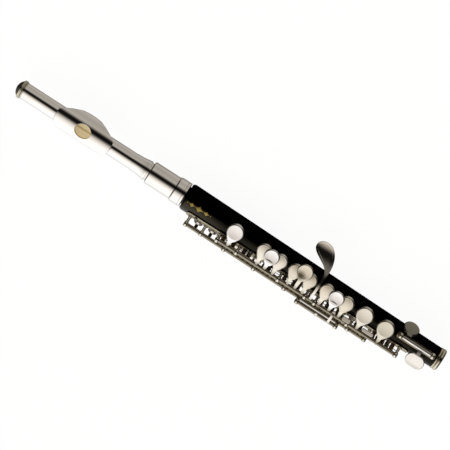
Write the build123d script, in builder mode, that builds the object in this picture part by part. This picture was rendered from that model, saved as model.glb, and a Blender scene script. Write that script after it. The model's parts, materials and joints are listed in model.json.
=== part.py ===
from build123d import *

import os
from dataclasses import dataclass
from math import atan2, cos, degrees, hypot, radians, sin

# Piccolo: silver headjoint, conical black body and a Boehm-system key mechanism.
#
# The origin is the centre of the foot-end face, on the bore axis.  +X points out of the foot, so the
# instrument runs towards -X.  +Z is up, the way the embouchure and the finger keys face.  -Y is the
# player's side, where the hinge rods run.  An "angle" is measured about the bore axis from +Z
# towards -Y, in degrees.  All sizes are millimetres.

# ---------------------------------------------------------------- driving dimensions
CROWN_END = -322.0  # far end of the crown, so the overall length is 322
SHOULDER = -193.5  # where the headjoint's barrel meets the body
BODY_R_SHOULDER = 9.35
BODY_R_FOOT = 7.1
BORE_R_TOP = 5.25
BORE_R_FOOT = 3.9
FOOT_BORE_LENGTH = 12.0  # cylindrical stretch of bore at the foot, where a stand's peg sits
TENON_R = 6.1
TENON_LENGTH = 17.0
TENON_CORK_R = 6.5
FOOT_RING_LENGTH = 4.0

HEAD_START = -316.4  # crown end of the head tube
HEAD_END = -212.2
HEAD_R = 5.6
HEAD_BORE_R = 5.25
EMBOUCHURE_X = -270.8
EMBOUCHURE_HALF = (5.4, 4.5)
LIP_LENGTH = 41.0
LIP_R = 10.4
LIP_CENTRE = (0.8, -1.6)  # (y, z) of the axis that the lip plate curves about
LIP_THICKNESS = 0.9
LIP_NEAR_Y = -7.7  # straight edge towards the player
LIP_END_Y = 4.6  # where the bowed far edge starts, at each end
LIP_FAR_Y = 10.9  # furthest point of the bowed far edge
LIP_CORNER = 6.0
BARREL_R = 7.8
BARREL_BAND_R = 8.55
BARREL_BAND_LENGTH = 8.2

RUNNING = 0.05  # radial clearance of a shaft that turns or slides
ROD_R = 0.75
TUBE_R = 1.3
TUBE_BORE_R = ROD_R + RUNNING
POST_FLAT = 1.35  # half the width of a post's head along the hinge line
POST_HEAD_R = 2.1
TUBE_GAP = POST_FLAT + 0.1  # from a post's centre to the end of the tube beside it

# hinge lines, as (y, z) of their axes, all parallel to the bore
MAIN = (-11.6, 7.2)
TRILL = (-15.4, 0.8)
OUTER = (-17.6, 4.5)
THUMB = (-11.2, -8.0)
FOOT = (1.5, 10.6)

# rest position of the keys that stand open, in degrees about the hinge line
OPEN = 6.0
THUMB_OPEN = -8.0

# pads and cups, as heights above the seat of the tone hole
SEAT_RISE = 0.3
CHIMNEY_WALL = 1.0
PAD_LIFT = 0.02
PAD_TOP = 1.9
CUP_LOW = 0.45
CUP_TOP = 2.7
CUP_WALL = 0.5
TOUCH_LOW = 3.35  # underside of a raised touch
TOUCH_HIGH = 4.75
TOUCH_DISH = 0.3  # depth of a raised touch's hollow

ARM_THICKNESS = 1.5
TOUCH_ARM = 1.2  # thickness of the arm that carries a raised touch
ARM_TIP = 0.9  # half the width of an arm where it meets its hinge tube
ARM_WAIST = 1.3  # and where it starts to flare into its disc
ARM_TAIL = 1.7  # how far the pointed tail runs past the hinge line

RIB_THICKNESS = 0.8
SCREW_R = 0.7
SCREW_HEAD_R = 1.15
SCREW_DEPTH = 2.4


@dataclass
class ToneHole:
    """A tone hole and the round cup that covers it, at x along the body and an angle around it."""

    x: float
    angle: float
    hole_r: float
    cup_r: float

    @property
    def pad_r(self):
        return self.cup_r - CUP_WALL

    @property
    def seat(self):
        return body_radius(self.x) + SEAT_RISE


def body_radius(x):
    """Outside radius of the conical body at x."""
    return BODY_R_FOOT + (BODY_R_SHOULDER - BODY_R_FOOT) * x / SHOULDER


def around(angle, radius):
    """(y, z) of a point at an angle and a radius about the bore axis."""
    return (-radius * sin(radians(angle)), radius * cos(radians(angle)))


def radial_plane(x, angle, radius):
    """Plane square to the direction straight out from the bore axis at x and an angle."""
    return Plane(origin=(x, *around(angle, radius)), x_dir=(1, 0, 0), z_dir=(0, *around(angle, 1)))


def radial_axis(x, angle):
    """Axis straight out from the bore at x and an angle."""
    return Axis((x, 0, 0), (0, *around(angle, 1)))


def profile_plane(x, angle=0.0, centre=(0.0, 0.0)):
    """Plane with the bore direction as its x and the direction at an angle as its y."""
    y_part, z_part = around(angle, 1)
    return Plane(origin=(x, *centre), x_dir=(1, 0, 0), z_dir=(0, -z_part, y_part))


def hinge_axis(line):
    """Axis of a hinge line, pointing out of the foot."""
    return Axis((0, *line), (1, 0, 0))


def post_angle(line):
    return degrees(atan2(-line[0], line[1]))


# tone holes, named by the note each one lets sound
C_SHARP_HOLE = ToneHole(-154.6, 0, 2.3, 5.75)
C_HOLE = ToneHole(-144.0, 180, 2.7, 4.9)
B_HOLE = ToneHole(-132.8, 0, 2.8, 5.0)
A_SHARP_HOLE = ToneHole(-120.8, 0, 2.8, 5.0)
A_HOLE = ToneHole(-109.3, 0, 2.9, 4.95)
G_SHARP_TOP_HOLE = ToneHole(-98.3, 0, 2.9, 4.9)
G_SHARP_HOLE = ToneHole(-93.0, 130, 2.6, 4.5)
G_HOLE = ToneHole(-85.6, 0, 3.0, 5.0)
F_SHARP_HOLE = ToneHole(-70.9, 0, 3.0, 5.1)
F_HOLE = ToneHole(-57.1, 0, 3.1, 5.85)
E_HOLE = ToneHole(-41.4, 0, 3.2, 5.95)
D_SHARP_HOLE = ToneHole(-27.4, -57, 3.1, 5.6)
D_TRILL_HOLE = ToneHole(-167.2, 105, 1.8, 3.2)
D_SHARP_TRILL_HOLE = ToneHole(-177.8, 105, 1.8, 3.2)
TONE_HOLES = [
    C_SHARP_HOLE,
    C_HOLE,
    B_HOLE,
    A_SHARP_HOLE,
    A_HOLE,
    G_SHARP_TOP_HOLE,
    G_SHARP_HOLE,
    G_HOLE,
    F_SHARP_HOLE,
    F_HOLE,
    E_HOLE,
    D_SHARP_HOLE,
    D_TRILL_HOLE,
    D_SHARP_TRILL_HOLE,
]
TRILL_HOLES = [D_TRILL_HOLE, D_SHARP_TRILL_HOLE]

# posts along each hinge line
MAIN_POSTS = [-161.9, -147.2, -115.6, -95.4, -88.1, -63.6, -27.1]
TRILL_POSTS = [-184.2, -172.6, -61.3, -48.6]
TRILL_GUIDES = [-155.0, -132.4, -109.2]
OUTER_POSTS = [-98.0, -68.6]
THUMB_POSTS = [-162.4, -131.5]
FOOT_POSTS = [-31.0, -7.0]

# straps that carry the posts: x range and angle range
MAIN_RIB = ((-187.5, -21.5), (42, 101))
THUMB_RIB = ((-164.2, -129.2), (111, 140))
FOOT_RIB = ((-33.4, -4.9), (-22, 8))
MAIN_SCREWS = [(-180.5, 55), (-139.5, 51), (-106.5, 51), (-55.0, 51), (-34.5, 51)]
THUMB_SCREWS = [(-150.5, 125)]
FOOT_SCREWS = [(-19.0, -7)]

os.makedirs("parts", exist_ok=True)


# ---------------------------------------------------------------- shared features
def rib(x_range, angles):
    """Thin strap that lies on the conical body between two angles, with rounded corners."""
    x0, x1 = x_range
    with BuildPart(mode=Mode.PRIVATE) as made:
        with BuildSketch(profile_plane(0, angles[0])):
            with BuildLine():
                Polyline(
                    (x0, body_radius(x0)),
                    (x1, body_radius(x1)),
                    (x1, body_radius(x1) + RIB_THICKNESS),
                    (x0, body_radius(x0) + RIB_THICKNESS),
                    close=True,
                )
            make_face()
        revolve(axis=Axis.X, revolution_arc=angles[1] - angles[0])
        corners = made.edges().filter_by(lambda edge: edge.length < RIB_THICKNESS * 1.05)
        width = body_radius(x1) * radians(angles[1] - angles[0])
        fillet(corners, min(1.9, 0.4 * width))
    return made.part


def rib_screw(x, angle):
    """Slotted screw that holds a strap to the body."""
    base = body_radius(x) + RIB_THICKNESS + 0.02
    with BuildPart(mode=Mode.PRIVATE) as made:
        with BuildSketch(radial_plane(x, angle, body_radius(x) - SCREW_DEPTH)):
            Circle(SCREW_R)
        extrude(amount=SCREW_DEPTH + RIB_THICKNESS + 0.1)
        with BuildSketch(radial_plane(x, angle, base)):
            Circle(SCREW_HEAD_R)
        extrude(amount=0.55)
        with BuildSketch(radial_plane(x, angle, base + 0.3)):
            Rectangle(2 * SCREW_HEAD_R + 0.4, 0.4)
        extrude(amount=0.6, mode=Mode.SUBTRACT)
    return made.part


def screw_hole(x, angle):
    """Hole that a strap's screw needs in the strap and in the body."""
    with BuildPart(mode=Mode.PRIVATE) as made:
        with BuildSketch(radial_plane(x, angle, body_radius(x) - SCREW_DEPTH - 0.05)):
            Circle(SCREW_R + 0.03)
        extrude(amount=SCREW_DEPTH + RIB_THICKNESS + 1)
    return made.part


def post(line, x, bore_r=TUBE_BORE_R, head_r=POST_HEAD_R):
    """Turned post that stands on a strap and carries a hinge line in its round head."""
    angle = post_angle(line)
    base = body_radius(x) + RIB_THICKNESS
    reach = hypot(*line)
    with BuildPart(mode=Mode.PRIVATE) as made:
        with BuildSketch(profile_plane(x, angle)):
            with BuildLine():
                Polyline(
                    (0, base - 0.6),
                    (1.6, base - 0.6),
                    (1.6, base + 0.3),
                    (1.0, base + 0.65),
                    (0.9, reach),
                    (0, reach),
                    close=True,
                )
            make_face()
        revolve(axis=radial_axis(x, angle))
        with BuildSketch(profile_plane(x, 0, line)):
            with BuildLine():
                edge_r = head_r * 0.74
                ThreePointArc((-POST_FLAT, edge_r), (0, head_r), (POST_FLAT, edge_r))
                Polyline((POST_FLAT, edge_r), (POST_FLAT, 0), (-POST_FLAT, 0), (-POST_FLAT, edge_r))
            make_face()
        revolve(axis=Axis((x, *line), (1, 0, 0)))
        with BuildSketch(profile_plane(0)):
            with BuildLine():
                Polyline(
                    (x - 3, 0),
                    (x + 3, 0),
                    (x + 3, body_radius(x + 3) + RIB_THICKNESS + 0.01),
                    (x - 3, body_radius(x - 3) + RIB_THICKNESS + 0.01),
                    close=True,
                )
            make_face()
        revolve(axis=Axis.X, mode=Mode.SUBTRACT)
        add(line_cylinder(line, x - 3, x + 3, bore_r), mode=Mode.SUBTRACT)
    return made.part


def line_cylinder(line, x0, x1, radius):
    """Cylinder along a hinge line: a tube's blank, its bore, or a rod."""
    with BuildPart(mode=Mode.PRIVATE) as made:
        with BuildSketch(Plane.YZ.offset(x0)):
            with Locations(line):
                Circle(radius)
        extrude(amount=x1 - x0)
    return made.part


def hinge_rod(line, x0, x1):
    """Steel hinge rod with a screwdriver slot in its foot end."""
    with BuildPart(mode=Mode.PRIVATE) as made:
        add(line_cylinder(line, x0, x1, ROD_R))
        chamfer(made.edges().filter_by(GeomType.CIRCLE), 0.12)
        with Locations((x1, *line)):
            Box(0.9, 0.35, 4 * ROD_R, mode=Mode.SUBTRACT)
    return made.part


def bar(x, path, width, thickness=ARM_THICKNESS):
    """Bent strip of constant width, whose side view follows a path of (y, z) points."""
    with BuildPart(mode=Mode.PRIVATE) as made:
        with BuildSketch(Plane.YZ.offset(x - width / 2)):
            with BuildLine():
                Spline(*path)
            trace(line_width=thickness)
        extrude(amount=width)
    return made.part


def cup(hole, dished=False):
    """Round key cup over a tone hole, shut on it, with the pocket for its pad."""
    s, r, inner = hole.seat, hole.cup_r, hole.pad_r + 0.02
    crest = r - 1.15
    brim = s + CUP_TOP - 1.2
    centre_drop = 0.22 if dished else -0.3
    with BuildPart(mode=Mode.PRIVATE) as made:
        with BuildSketch(profile_plane(hole.x, hole.angle)):
            with BuildLine():
                ThreePointArc(
                    (0, s + CUP_TOP - centre_drop),
                    (crest / 2, s + CUP_TOP - centre_drop * 0.7),
                    (crest, s + CUP_TOP),
                )
                ThreePointArc((crest, s + CUP_TOP), (r - 0.28, s + CUP_TOP - 0.32), (r, brim))
                Polyline(
                    (r, brim),
                    (r, s + CUP_LOW),
                    (inner, s + CUP_LOW),
                    (inner, s + PAD_TOP + 0.02),
                    (0, s + PAD_TOP + 0.02),
                    (0, s + CUP_TOP - centre_drop),
                )
            make_face()
        revolve(axis=radial_axis(hole.x, hole.angle))
    return made.part


def pad_pocket(hole):
    """Room that the pad and the tone hole's rim need, to be kept free of the key's arm."""
    with BuildPart(mode=Mode.PRIVATE) as made:
        with BuildSketch(radial_plane(hole.x, hole.angle, hole.seat - 3)):
            Circle(hole.pad_r + 0.02)
        extrude(amount=3 + PAD_TOP + 0.02)
    return made.part


def pad(hole):
    """Felt pad under its skin, with a rounded lower edge, just clear of the seat."""
    with BuildPart(mode=Mode.PRIVATE) as made:
        with BuildSketch(radial_plane(hole.x, hole.angle, hole.seat + PAD_LIFT)):
            Circle(hole.pad_r)
        extrude(amount=PAD_TOP - PAD_LIFT)
        outward = Axis((hole.x, 0, 0), (0, *around(hole.angle, 1)))
        fillet(made.faces().sort_by(outward)[0].edges(), 0.3)
    return made.part


def teardrop_arm(x, line, disc_r, disc_y, height, thickness=ARM_THICKNESS):
    """Arm in one piece with a round disc over the top of the body.

    From the side it arches from the hinge line to the disc; from above it leaves the disc at full
    width, narrows to a waist and ends in a point beyond the hinge tube.
    """
    end = (disc_y - disc_r * 0.45, height)
    middle = ((line[0] + end[0]) / 2 - 0.9, (line[1] + end[1]) / 2 + 0.75)
    shoulder = disc_r * 0.62
    with BuildPart(mode=Mode.PRIVATE) as made:
        with BuildSketch(Plane.YZ.offset(x - disc_r)):
            with BuildLine():
                tail = (line[0] - ARM_TAIL, line[1] - 1.1)
                Spline(tail, line, middle, (disc_y - disc_r, height), end)
            trace(line_width=thickness)
        extrude(amount=2 * disc_r)
        with BuildSketch(Plane.XY):
            with BuildLine():
                Polyline(
                    (x - 0.25, line[0] - ARM_TAIL),
                    (x + 0.25, line[0] - ARM_TAIL),
                    (x + ARM_TIP, line[0] + 1.5),
                    (x + ARM_WAIST, disc_y - disc_r * 1.25),
                    (x + shoulder, disc_y - disc_r * 0.78),
                    (x + shoulder, disc_y),
                    (x - shoulder, disc_y),
                    (x - shoulder, disc_y - disc_r * 0.78),
                    (x - ARM_WAIST, disc_y - disc_r * 1.25),
                    (x - ARM_TIP, line[0] + 1.5),
                    close=True,
                )
            make_face()
        extrude(amount=30, mode=Mode.INTERSECT)
    return made.part


def cup_arm(hole, line=MAIN):
    return teardrop_arm(hole.x, line, hole.cup_r, 0, hole.seat + CUP_TOP - 1.25)


def raised_touch(x, disc_r, disc_y=0.0):
    """Dished finger touch that stands above the cups beside it, with its arm to the main line."""
    base = body_radius(x) + SEAT_RISE
    with BuildPart(mode=Mode.PRIVATE) as made:
        with BuildSketch(Plane((x, disc_y, 0), x_dir=(1, 0, 0), z_dir=(0, -1, 0))):
            with BuildLine():
                Polyline(
                    (0, base + TOUCH_HIGH - TOUCH_DISH),
                    (0, base + TOUCH_LOW),
                    (disc_r - 0.9, base + TOUCH_LOW),
                    (disc_r, base + TOUCH_LOW + 0.45),
                    (disc_r, base + TOUCH_HIGH - 0.6),
                )
                ThreePointArc(
                    (disc_r, base + TOUCH_HIGH - 0.6),
                    (disc_r - 0.25, base + TOUCH_HIGH - 0.15),
                    (disc_r - 0.8, base + TOUCH_HIGH),
                )
                ThreePointArc(
                    (disc_r - 0.8, base + TOUCH_HIGH),
                    (disc_r / 2, base + TOUCH_HIGH - 0.22),
                    (0, base + TOUCH_HIGH - TOUCH_DISH),
                )
            make_face()
        revolve(axis=Axis((x, disc_y, 0), (0, 0, 1)))
        arm_height = base + TOUCH_HIGH - 0.25 - TOUCH_ARM / 2
        add(teardrop_arm(x, MAIN, disc_r, disc_y, arm_height, TOUCH_ARM))
    return made.part


def plate(centre, size, height, thickness, corner):
    """Flat rounded touch piece whose underside is at a height."""
    with BuildPart(mode=Mode.PRIVATE) as made:
        with BuildSketch(Plane.XY.offset(height)):
            with Locations(centre):
                RectangleRounded(size[0], size[1], corner)
        extrude(amount=thickness)
        fillet(made.faces().sort_by(Axis.Z)[-1].edges(), thickness * 0.35)
        fillet(made.faces().sort_by(Axis.Z)[0].edges(), thickness * 0.2)
    return made.part


def stand(shape, line, angle):
    """Turns a finished piece about its hinge line to where it rests."""
    return shape.rotate(hinge_axis(line), angle)


def key(line, spans, pieces, holes=(), rest=0.0, bore_r=TUBE_BORE_R):
    """Joins a key's tubes, arms, cups and touches into one solid and bores its hinge tubes."""
    with BuildPart(mode=Mode.PRIVATE) as made:
        for x0, x1 in spans:
            add(line_cylinder(line, x0, x1, TUBE_R))
        for piece in pieces:
            add(piece)
        for hole in holes:
            add(pad_pocket(hole), mode=Mode.SUBTRACT)
        for x0, x1 in spans:
            add(line_cylinder(line, x0 - 1.2, x1 + 1.2, bore_r), mode=Mode.SUBTRACT)
    return stand(made.part, line, rest)


def pads(holes, line, rest=0.0):
    """The pads of one key, as separate solids."""
    return [stand(pad(hole), line, rest) for hole in holes]


# ---------------------------------------------------------------- body and its fittings
with BuildPart() as body_tube:
    with BuildSketch(Plane.XZ):
        with BuildLine():
            tenon_x = SHOULDER - TENON_LENGTH
            ring_x = -FOOT_RING_LENGTH
            Polyline(
                (-FOOT_BORE_LENGTH, BORE_R_FOOT),
                (tenon_x, BORE_R_TOP),
                (tenon_x, TENON_R),
                (SHOULDER, TENON_R),
                (SHOULDER, BODY_R_SHOULDER - 0.85),
            )
            ThreePointArc(
                (SHOULDER, BODY_R_SHOULDER - 0.85),
                (SHOULDER + 0.9, BODY_R_SHOULDER - 0.3),
                (SHOULDER + 2.8, body_radius(SHOULDER + 2.8)),
            )
            Polyline(
                (SHOULDER + 2.8, body_radius(SHOULDER + 2.8)),
                (ring_x - 0.05, body_radius(ring_x)),
                (ring_x - 0.05, 5.65),
                (-0.65, 5.65),
                (-0.65, BORE_R_FOOT),
                (-FOOT_BORE_LENGTH, BORE_R_FOOT),
            )
        make_face()
    revolve(axis=Axis.X)
    # low chimneys give each tone hole a flat, raised seat
    for tone_hole in TONE_HOLES:
        with BuildSketch(radial_plane(tone_hole.x, tone_hole.angle, tone_hole.seat)):
            Circle(tone_hole.hole_r + CHIMNEY_WALL)
        extrude(amount=-2.6)
    for tone_hole in TONE_HOLES:
        with BuildSketch(radial_plane(tone_hole.x, tone_hole.angle, 0)):
            Circle(tone_hole.hole_r)
        extrude(amount=tone_hole.seat + 1, mode=Mode.SUBTRACT)
    for screw_x, screw_angle in MAIN_SCREWS + THUMB_SCREWS + FOOT_SCREWS:
        add(screw_hole(screw_x, screw_angle), mode=Mode.SUBTRACT)
body_tube.part.label = "body_tube"
export_step(body_tube.part, "parts/body_tube.step")

# cork sleeve of the tenon, with two shallow rings turned into it
with BuildPart() as tenon_cork:
    with BuildSketch(Plane.YZ.offset(SHOULDER - TENON_LENGTH + 1.2)):
        Circle(TENON_CORK_R - RUNNING)
        Circle(TENON_R + 0.01, mode=Mode.SUBTRACT)
    extrude(amount=TENON_LENGTH - 2.2)
    for groove_x in (SHOULDER - 5.6, SHOULDER - 11.4):
        with BuildSketch(Plane.YZ.offset(groove_x)):
            Circle(TENON_CORK_R + 1)
            Circle(TENON_CORK_R - 0.22, mode=Mode.SUBTRACT)
        extrude(amount=0.8, mode=Mode.SUBTRACT)
tenon_cork.part.label = "tenon_cork"
export_step(tenon_cork.part, "parts/tenon_cork.step")

with BuildPart() as foot_ring:
    with BuildSketch(Plane.XZ):
        with BuildLine():
            ring_r = body_radius(0) + 0.15
            bead_x = -0.65 * FOOT_RING_LENGTH
            Polyline(
                (-FOOT_RING_LENGTH, 5.7),
                (-0.6, 5.7),
                (-0.6, 4.9),
                (0, 4.9),
                (0, ring_r - 0.5),
            )
            ThreePointArc((0, ring_r - 0.5), (bead_x / 2, ring_r + 0.35), (bead_x, ring_r - 0.1))
            ThreePointArc(
                (bead_x, ring_r - 0.1),
                ((bead_x - FOOT_RING_LENGTH) / 2, ring_r + 0.25),
                (-FOOT_RING_LENGTH, ring_r - 0.1),
            )
            Line((-FOOT_RING_LENGTH, ring_r - 0.1), (-FOOT_RING_LENGTH, 5.7))
        make_face()
    revolve(axis=Axis.X)
foot_ring.part.label = "foot_ring"
export_step(foot_ring.part, "parts/foot_ring.step")

# the long strap is notched around the two trill holes
with BuildPart() as main_rib:
    add(rib(*MAIN_RIB))
    for screw_x, screw_angle in MAIN_SCREWS:
        add(screw_hole(screw_x, screw_angle), mode=Mode.SUBTRACT)
    for tone_hole in TRILL_HOLES:
        with BuildSketch(radial_plane(tone_hole.x, tone_hole.angle, 0)):
            Circle(tone_hole.cup_r + 0.2)
        extrude(amount=14, mode=Mode.SUBTRACT)
main_rib.part.label = "main_rib"
export_step(main_rib.part, "parts/main_rib.step")

with BuildPart() as thumb_rib:
    add(rib(*THUMB_RIB))
    for screw_x, screw_angle in THUMB_SCREWS:
        add(screw_hole(screw_x, screw_angle), mode=Mode.SUBTRACT)
thumb_rib.part.label = "thumb_rib"
export_step(thumb_rib.part, "parts/thumb_rib.step")

with BuildPart() as foot_rib:
    add(rib(*FOOT_RIB))
    for screw_x, screw_angle in FOOT_SCREWS:
        add(screw_hole(screw_x, screw_angle), mode=Mode.SUBTRACT)
foot_rib.part.label = "foot_rib"
export_step(foot_rib.part, "parts/foot_rib.step")

with BuildPart() as rib_screws:
    for screw_x, screw_angle in MAIN_SCREWS + THUMB_SCREWS + FOOT_SCREWS:
        add(rib_screw(screw_x, screw_angle))
rib_screws.part.label = "rib_screws"
export_step(rib_screws.part, "parts/rib_screws.step")

with BuildPart() as main_posts:
    for post_x in MAIN_POSTS:
        add(post(MAIN, post_x))
main_posts.part.label = "main_posts"
export_step(main_posts.part, "parts/main_posts.step")

with BuildPart() as trill_posts:
    for post_x in TRILL_POSTS:
        add(post(TRILL, post_x))
    for post_x in TRILL_GUIDES:
        add(post(TRILL, post_x, TUBE_R + RUNNING, POST_HEAD_R + 0.3))
trill_posts.part.label = "trill_posts"
export_step(trill_posts.part, "parts/trill_posts.step")

with BuildPart() as side_posts:
    for post_x in OUTER_POSTS:
        add(post(OUTER, post_x))
side_posts.part.label = "side_posts"
export_step(side_posts.part, "parts/side_posts.step")

with BuildPart() as thumb_posts:
    for post_x in THUMB_POSTS:
        add(post(THUMB, post_x))
thumb_posts.part.label = "thumb_posts"
export_step(thumb_posts.part, "parts/thumb_posts.step")

with BuildPart() as foot_posts:
    for post_x in FOOT_POSTS:
        add(post(FOOT, post_x))
foot_posts.part.label = "foot_posts"
export_step(foot_posts.part, "parts/foot_posts.step")

# ---------------------------------------------------------------- hinge rods
with BuildPart() as left_rod:
    add(hinge_rod(MAIN, MAIN_POSTS[0] - 1.5, MAIN_POSTS[3] - 0.1))
left_rod.part.label = "left_rod"
export_step(left_rod.part, "parts/left_rod.step")

with BuildPart() as right_rod:
    add(hinge_rod(MAIN, MAIN_POSTS[3] + 0.1, MAIN_POSTS[-1] + 1.5))
right_rod.part.label = "right_rod"
export_step(right_rod.part, "parts/right_rod.step")

with BuildPart() as side_rod:
    add(hinge_rod(OUTER, OUTER_POSTS[0] - 1.5, OUTER_POSTS[1] + 1.5))
side_rod.part.label = "side_rod"
export_step(side_rod.part, "parts/side_rod.step")

with BuildPart() as thumb_rod:
    add(hinge_rod(THUMB, THUMB_POSTS[0] - 1.5, THUMB_POSTS[1] + 1.5))
thumb_rod.part.label = "thumb_rod"
export_step(thumb_rod.part, "parts/thumb_rod.step")

with BuildPart() as foot_rod:
    add(hinge_rod(FOOT, FOOT_POSTS[0] - 1.5, FOOT_POSTS[1] + 1.5))
foot_rod.part.label = "foot_rod"
export_step(foot_rod.part, "parts/foot_rod.step")

# needle springs, each starting at a post and lying along the underside of a key's tube
SPRING_STARTS = [(-161.9, 1), (-147.2, 1), (-115.6, -1), (-115.6, 1), (-88.1, 1), (-63.6, 1), (-27.1, -1)]
SPRING_LENGTH = 8.5
SPRING_R = 0.22
with BuildPart() as needle_springs:
    spring_y, spring_z = around(post_angle(MAIN), hypot(*MAIN) - 2.7)
    for spring_x, way in SPRING_STARTS:
        start = spring_x + 1.05 if way > 0 else spring_x - 1.05 - SPRING_LENGTH
        with BuildSketch(Plane.YZ.offset(start)):
            with Locations((spring_y, spring_z)):
                Circle(SPRING_R)
        extrude(amount=SPRING_LENGTH)
needle_springs.part.label = "needle_springs"
export_step(needle_springs.part, "parts/needle_springs.step")

# ---------------------------------------------------------------- headjoint
with BuildPart() as head_tube:
    with BuildSketch(Plane.YZ.offset(HEAD_START)):
        Circle(HEAD_R)
        Circle(HEAD_BORE_R, mode=Mode.SUBTRACT)
    extrude(amount=HEAD_END - HEAD_START)
    with BuildSketch(Plane.XY):
        with Locations((EMBOUCHURE_X, 0)):
            Ellipse(*EMBOUCHURE_HALF)
    extrude(amount=20, mode=Mode.SUBTRACT)
head_tube.part.label = "head_tube"
export_step(head_tube.part, "parts/head_tube.step")

# curved plate that the player's lip rests on: straight towards the player, bowed on the far side
with BuildPart() as lip_plate:
    with BuildSketch(Plane.YZ.offset(EMBOUCHURE_X - LIP_LENGTH / 2)):
        with Locations(LIP_CENTRE):
            Circle(LIP_R)
            Circle(LIP_R - LIP_THICKNESS, mode=Mode.SUBTRACT)
    extrude(amount=LIP_LENGTH)
    with BuildSketch(Plane.XY):
        with BuildLine():
            lip_x0 = EMBOUCHURE_X - LIP_LENGTH / 2
            lip_x1 = EMBOUCHURE_X + LIP_LENGTH / 2
            Polyline((lip_x1, LIP_END_Y), (lip_x1, LIP_NEAR_Y), (lip_x0, LIP_NEAR_Y), (lip_x0, LIP_END_Y))
            ThreePointArc((lip_x0, LIP_END_Y), (EMBOUCHURE_X, LIP_FAR_Y), (lip_x1, LIP_END_Y))
        make_face()
        fillet(vertices().group_by(Axis.Y)[0], LIP_CORNER)
        fillet(vertices().group_by(Axis.Y)[-1], 2.0)
        with Locations((EMBOUCHURE_X, 0)):
            Ellipse(*EMBOUCHURE_HALF, mode=Mode.SUBTRACT)
    extrude(amount=20, mode=Mode.INTERSECT)
lip_plate.part.label = "lip_plate"
export_step(lip_plate.part, "parts/lip_plate.step")

# wall of the embouchure hole, between the tube and the lip plate
with BuildPart() as embouchure_riser:
    with BuildSketch(Plane.XY.offset(1)):
        with Locations((EMBOUCHURE_X, 0)):
            Ellipse(EMBOUCHURE_HALF[0] + 0.9, EMBOUCHURE_HALF[1] + 0.9)
            Ellipse(*EMBOUCHURE_HALF, mode=Mode.SUBTRACT)
    extrude(amount=12)
    with BuildSketch(Plane.YZ.offset(EMBOUCHURE_X - 10)):
        with Locations(LIP_CENTRE):
            Circle(LIP_R - LIP_THICKNESS - 0.01)
        Circle(HEAD_R + 0.01, mode=Mode.SUBTRACT)
    extrude(amount=20, mode=Mode.INTERSECT)
embouchure_riser.part.label = "embouchure_riser"
export_step(embouchure_riser.part, "parts/embouchure_riser.step")

# barrel: a taper on the tube, a groove, then the socket that takes the tenon
BAND_X = SHOULDER - 0.6 - BARREL_BAND_LENGTH
SOCKET_START = -233.8
with BuildPart() as head_socket:
    with BuildSketch(Plane.XZ):
        with BuildLine():
            Polyline(
                (SOCKET_START, HEAD_R + 0.01),
                (HEAD_END + 0.05, HEAD_R + 0.01),
                (HEAD_END + 0.05, TENON_CORK_R),
                (SHOULDER - 0.6, TENON_CORK_R),
                (SHOULDER - 0.6, 7.1),
                (BAND_X, 7.1),
                (BAND_X, BARREL_R),
                (-220.3, BARREL_R),
            )
            ThreePointArc((-220.3, BARREL_R), (-221.0, BARREL_R - 0.3), (-221.3, BARREL_R - 1.0))
            Polyline(
                (-221.3, BARREL_R - 1.0),
                (-221.3, 6.1),
                (-222.7, 6.1),
                (-222.7, 6.75),
                (-223.6, 6.75),
            )
            ThreePointArc((-223.6, 6.75), (-227.6, 6.1), (SOCKET_START, 5.75))
            Line((SOCKET_START, 5.75), (SOCKET_START, HEAD_R + 0.01))
        make_face()
    revolve(axis=Axis.X)
head_socket.part.label = "head_socket"
export_step(head_socket.part, "parts/head_socket.step")

with BuildPart() as socket_band:
    with BuildSketch(Plane.XZ):
        with BuildLine():
            end_x = SHOULDER - 0.6
            ThreePointArc((BAND_X, 8.0), (BAND_X + 0.5, 8.35), (BAND_X + 1.2, BARREL_BAND_R))
            Polyline(
                (BAND_X + 1.2, BARREL_BAND_R),
                (end_x - 2.2, BARREL_BAND_R),
                (end_x - 1.9, BARREL_BAND_R - 0.3),
                (end_x - 1.6, BARREL_BAND_R),
                (end_x - 0.4, BARREL_BAND_R),
                (end_x, BARREL_BAND_R - 0.4),
                (end_x, 7.11),
                (BAND_X + 0.01, 7.11),
                (BAND_X, 8.0),
            )
        make_face()
    revolve(axis=Axis.X)
socket_band.part.label = "socket_band"
export_step(socket_band.part, "parts/socket_band.step")

# domed end cap with a milled collar, threaded on the cork's screw
CORK_SCREW_R = 1.3
with BuildPart() as crown:
    with BuildSketch(Plane.XZ):
        with BuildLine():
            rim_x = HEAD_START - 0.05
            ThreePointArc((CROWN_END, 0), (CROWN_END + 0.9, 3.6), (CROWN_END + 2.6, 5.5))
            Polyline(
                (CROWN_END + 2.6, 5.5),
                (CROWN_END + 2.9, 6.2),
                (CROWN_END + 4.6, 6.3),
                (CROWN_END + 4.9, 5.85),
                (rim_x, 5.85),
                (rim_x, HEAD_BORE_R - RUNNING),
                (HEAD_START + 3.2, HEAD_BORE_R - RUNNING),
                (HEAD_START + 3.2, CORK_SCREW_R + RUNNING),
                (CROWN_END + 1.6, CORK_SCREW_R + RUNNING),
                (CROWN_END + 1.6, 0),
                (CROWN_END, 0),
            )
        make_face()
    revolve(axis=Axis.X)
    with BuildSketch(Plane.YZ.offset(CROWN_END + 3.0)):
        with PolarLocations(6.36, 36):
            Circle(0.17)
    extrude(amount=1.6, mode=Mode.SUBTRACT)
crown.part.label = "crown"
export_step(crown.part, "parts/crown.step")

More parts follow.
